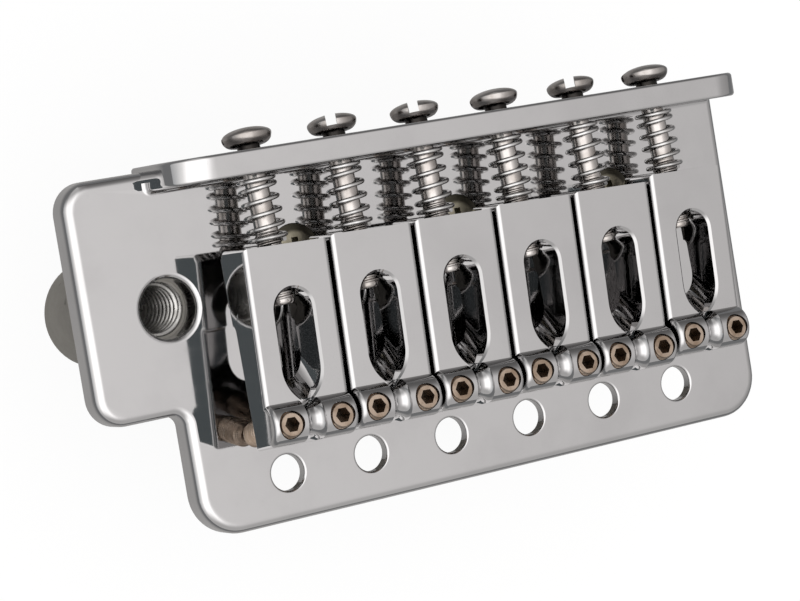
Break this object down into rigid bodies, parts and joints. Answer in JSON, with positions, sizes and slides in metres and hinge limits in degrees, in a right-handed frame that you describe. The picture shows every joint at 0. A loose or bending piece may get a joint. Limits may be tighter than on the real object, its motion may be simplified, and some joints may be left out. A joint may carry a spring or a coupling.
{
  "type": "guitar tremolo bridge",
  "caption": "Chromed guitar tremolo bridge: base plate with rear flange, block saddles on sprung intonation screws, socket height screws, and an inertia block with a threaded arm socket.",
  "frame": {"origin": "the middle of the row of pivot holes, on the top face of the base plate", "axes": "+X along the plate from the arm's side to the bass side, +Y from the pivot holes to the rear flange, +Z out of the plate's top face"},
  "size_m": [0.0851, 0.0432, 0.0461],
  "materials": {
    "plate_chrome": "polished chrome plating",
    "saddle_chrome": "polished chrome plating",
    "block_zinc": "dull grey die-cast metal",
    "block_screw_steel": "dull warm steel",
    "screw_steel": "bright nickel plating",
    "spring_steel": "bright spring wire",
    "set_screw_steel": "dull warm steel"
  },
  "bodies": {
    "bridge": {"base_plate": "plate_chrome", "tremolo_block": "block_zinc", "block_screws": "block_screw_steel"},
    "spring_1": {"intonation_spring_1": "spring_steel"},
    "intonation_screw_1": {"intonation_screw_1": "screw_steel"},
    "saddle_1": {"saddle_1": "saddle_chrome"},
    "height_screw_1_treble": {"height_screw_1_treble": "set_screw_steel"},
    "height_screw_1_bass": {"height_screw_1_bass": "set_screw_steel"},
    "spring_2": {"intonation_spring_2": "spring_steel"},
    "intonation_screw_2": {"intonation_screw_2": "screw_steel"},
    "saddle_2": {"saddle_2": "saddle_chrome"},
    "height_screw_2_treble": {"height_screw_2_treble": "set_screw_steel"},
    "height_screw_2_bass": {"height_screw_2_bass": "set_screw_steel"},
    "spring_3": {"intonation_spring_3": "spring_steel"},
    "intonation_screw_3": {"intonation_screw_3": "screw_steel"},
    "saddle_3": {"saddle_3": "saddle_chrome"},
    "height_screw_3_treble": {"height_screw_3_treble": "set_screw_steel"},
    "height_screw_3_bass": {"height_screw_3_bass": "set_screw_steel"},
    "spring_4": {"intonation_spring_4": "spring_steel"},
    "intonation_screw_4": {"intonation_screw_4": "screw_steel"},
    "saddle_4": {"saddle_4": "saddle_chrome"},
    "height_screw_4_treble": {"height_screw_4_treble": "set_screw_steel"},
    "height_screw_4_bass": {"height_screw_4_bass": "set_screw_steel"},
    "spring_5": {"intonation_spring_5": "spring_steel"},
    "intonation_screw_5": {"intonation_screw_5": "screw_steel"},
    "saddle_5": {"saddle_5": "saddle_chrome"},
    "height_screw_5_treble": {"height_screw_5_treble": "set_screw_steel"},
    "height_screw_5_bass": {"height_screw_5_bass": "set_screw_steel"},
    "spring_6": {"intonation_spring_6": "spring_steel"},
    "intonation_screw_6": {"intonation_screw_6": "screw_steel"},
    "saddle_6": {"saddle_6": "saddle_chrome"},
    "height_screw_6_treble": {"height_screw_6_treble": "set_screw_steel"},
    "height_screw_6_bass": {"height_screw_6_bass": "set_screw_steel"}
  },
  "joints": [
    {"name": "saddle_1_height", "type": "hinge", "parent": "bridge", "child": "spring_1", "pos_m": [-0.02625, 0.03403, 0.0037], "axis": [-1, 0, 0], "range_deg": [-2, 4]},
    {"name": "intonation_screw_1_turn", "type": "hinge", "parent": "spring_1", "child": "intonation_screw_1", "pos_m": [-0.02625, 0.03403, 0.0037], "axis": [0, -0.9945, 0.1045], "range_deg": [-1090, 1090]},
    {"name": "saddle_1_intonation", "type": "slide", "parent": "spring_1", "child": "saddle_1", "axis": [0, 0.9945, -0.1045], "range_m": [-0.0015, 0.0015], "deforming": ["intonation_spring_1"]},
    {"name": "height_screw_1_treble_travel", "type": "slide", "parent": "saddle_1", "child": "height_screw_1_treble", "axis": [0.0035, 0.1287, 0.9917], "range_m": [-0.0021, 0.0011]},
    {"name": "height_screw_1_bass_travel", "type": "slide", "parent": "saddle_1", "child": "height_screw_1_bass", "axis": [0.0035, 0.1287, 0.9917], "range_m": [-0.0021, 0.0011]},
    {"name": "saddle_2_height", "type": "hinge", "parent": "bridge", "child": "spring_2", "pos_m": [-0.01575, 0.03403, 0.0037], "axis": [-1, 0, 0], "range_deg": [-2, 4]},
    {"name": "intonation_screw_2_turn", "type": "hinge", "parent": "spring_2", "child": "intonation_screw_2", "pos_m": [-0.01575, 0.03403, 0.0037], "axis": [0, -0.9945, 0.1045], "range_deg": [-1090, 1090]},
    {"name": "saddle_2_intonation", "type": "slide", "parent": "spring_2", "child": "saddle_2", "axis": [0, 0.9945, -0.1045], "range_m": [-0.0015, 0.0015], "deforming": ["intonation_spring_2"]},
    {"name": "height_screw_2_treble_travel", "type": "slide", "parent": "saddle_2", "child": "height_screw_2_treble", "axis": [0.0035, 0.1287, 0.9917], "range_m": [-0.0021, 0.0011]},
    {"name": "height_screw_2_bass_travel", "type": "slide", "parent": "saddle_2", "child": "height_screw_2_bass", "axis": [0.0035, 0.1287, 0.9917], "range_m": [-0.0021, 0.0011]},
    {"name": "saddle_3_height", "type": "hinge", "parent": "bridge", "child": "spring_3", "pos_m": [-0.00525, 0.03403, 0.0037], "axis": [-1, 0, 0], "range_deg": [-2, 4]},
    {"name": "intonation_screw_3_turn", "type": "hinge", "parent": "spring_3", "child": "intonation_screw_3", "pos_m": [-0.00525, 0.03403, 0.0037], "axis": [0, -0.9945, 0.1045], "range_deg": [-1090, 1090]},
    {"name": "saddle_3_intonation", "type": "slide", "parent": "spring_3", "child": "saddle_3", "axis": [0, 0.9945, -0.1045], "range_m": [-0.0015, 0.0015], "deforming": ["intonation_spring_3"]},
    {"name": "height_screw_3_treble_travel", "type": "slide", "parent": "saddle_3", "child": "height_screw_3_treble", "axis": [0.0035, 0.1287, 0.9917], "range_m": [-0.0021, 0.0011]},
    {"name": "height_screw_3_bass_travel", "type": "slide", "parent": "saddle_3", "child": "height_screw_3_bass", "axis": [0.0035, 0.1287, 0.9917], "range_m": [-0.0021, 0.0011]},
    {"name": "saddle_4_height", "type": "hinge", "parent": "bridge", "child": "spring_4", "pos_m": [0.00525, 0.03403, 0.0037], "axis": [-1, 0, 0], "range_deg": [-2, 4]},
    {"name": "intonation_screw_4_turn", "type": "hinge", "parent": "spring_4", "child": "intonation_screw_4", "pos_m": [0.00525, 0.03403, 0.0037], "axis": [0, -0.9945, 0.1045], "range_deg": [-1090, 1090]},
    {"name": "saddle_4_intonation", "type": "slide", "parent": "spring_4", "child": "saddle_4", "axis": [0, 0.9945, -0.1045], "range_m": [-0.0015, 0.0015], "deforming": ["intonation_spring_4"]},
    {"name": "height_screw_4_treble_travel", "type": "slide", "parent": "saddle_4", "child": "height_screw_4_treble", "axis": [0.0035, 0.1287, 0.9917], "range_m": [-0.0021, 0.0011]},
    {"name": "height_screw_4_bass_travel", "type": "slide", "parent": "saddle_4", "child": "height_screw_4_bass", "axis": [0.0035, 0.1287, 0.9917], "range_m": [-0.0021, 0.0011]},
    {"name": "saddle_5_height", "type": "hinge", "parent": "bridge", "child": "spring_5", "pos_m": [0.01575, 0.03403, 0.0037], "axis": [-1, 0, 0], "range_deg": [-2, 4]},
    {"name": "intonation_screw_5_turn", "type": "hinge", "parent": "spring_5", "child": "intonation_screw_5", "pos_m": [0.01575, 0.03403, 0.0037], "axis": [0, -0.9945, 0.1045], "range_deg": [-1090, 1090]},
    {"name": "saddle_5_intonation", "type": "slide", "parent": "spring_5", "child": "saddle_5", "axis": [0, 0.9945, -0.1045], "range_m": [-0.0015, 0.0015], "deforming": ["intonation_spring_5"]},
    {"name": "height_screw_5_treble_travel", "type": "slide", "parent": "saddle_5", "child": "height_screw_5_treble", "axis": [0.0035, 0.1287, 0.9917], "range_m": [-0.0021, 0.0011]},
    {"name": "height_screw_5_bass_travel", "type": "slide", "parent": "saddle_5", "child": "height_screw_5_bass", "axis": [0.0035, 0.1287, 0.9917], "range_m": [-0.0021, 0.0011]},
    {"name": "saddle_6_height", "type": "hinge", "parent": "bridge", "child": "spring_6", "pos_m": [0.02625, 0.03403, 0.0037], "axis": [-1, 0, 0], "range_deg": [-2, 4]},
    {"name": "intonation_screw_6_turn", "type": "hinge", "parent": "spring_6", "child": "intonation_screw_6", "pos_m": [0.02625, 0.03403, 0.0037], "axis": [0, -0.9945, 0.1045], "range_deg": [-1090, 1090]},
    {"name": "saddle_6_intonation", "type": "slide", "parent": "spring_6", "child": "saddle_6", "axis": [0, 0.9945, -0.1045], "range_m": [-0.0015, 0.0015], "deforming": ["intonation_spring_6"]},
    {"name": "height_screw_6_treble_travel", "type": "slide", "parent": "saddle_6", "child": "height_screw_6_treble", "axis": [0.0035, 0.1287, 0.9917], "range_m": [-0.0021, 0.0011]},
    {"name": "height_screw_6_bass_travel", "type": "slide", "parent": "saddle_6", "child": "height_screw_6_bass", "axis": [0.0035, 0.1287, 0.9917], "range_m": [-0.0021, 0.0011]}
  ],
  "couplings": [
    {"joint": "intonation_screw_1_turn", "follows": "saddle_1_intonation", "rad_per_m": 12566},
    {"joint": "height_screw_1_treble_travel", "follows": "saddle_1_height", "m_per_rad": -0.0283},
    {"joint": "height_screw_1_bass_travel", "follows": "saddle_1_height", "m_per_rad": -0.0283},
    {"joint": "intonation_screw_2_turn", "follows": "saddle_2_intonation", "rad_per_m": 12566},
    {"joint": "height_screw_2_treble_travel", "follows": "saddle_2_height", "m_per_rad": -0.0283},
    {"joint": "height_screw_2_bass_travel", "follows": "saddle_2_height", "m_per_rad": -0.0283},
    {"joint": "intonation_screw_3_turn", "follows": "saddle_3_intonation", "rad_per_m": 12566},
    {"joint": "height_screw_3_treble_travel", "follows": "saddle_3_height", "m_per_rad": -0.0283},
    {"joint": "height_screw_3_bass_travel", "follows": "saddle_3_height", "m_per_rad": -0.0283},
    {"joint": "intonation_screw_4_turn", "follows": "saddle_4_intonation", "rad_per_m": 12566},
    {"joint": "height_screw_4_treble_travel", "follows": "saddle_4_height", "m_per_rad": -0.0283},
    {"joint": "height_screw_4_bass_travel", "follows": "saddle_4_height", "m_per_rad": -0.0283},
    {"joint": "intonation_screw_5_turn", "follows": "saddle_5_intonation", "rad_per_m": 12566},
    {"joint": "height_screw_5_treble_travel", "follows": "saddle_5_height", "m_per_rad": -0.0283},
    {"joint": "height_screw_5_bass_travel", "follows": "saddle_5_height", "m_per_rad": -0.0283},
    {"joint": "intonation_screw_6_turn", "follows": "saddle_6_intonation", "rad_per_m": 12566},
    {"joint": "height_screw_6_treble_travel", "follows": "saddle_6_height", "m_per_rad": -0.0283},
    {"joint": "height_screw_6_bass_travel", "follows": "saddle_6_height", "m_per_rad": -0.0283}
  ]
}
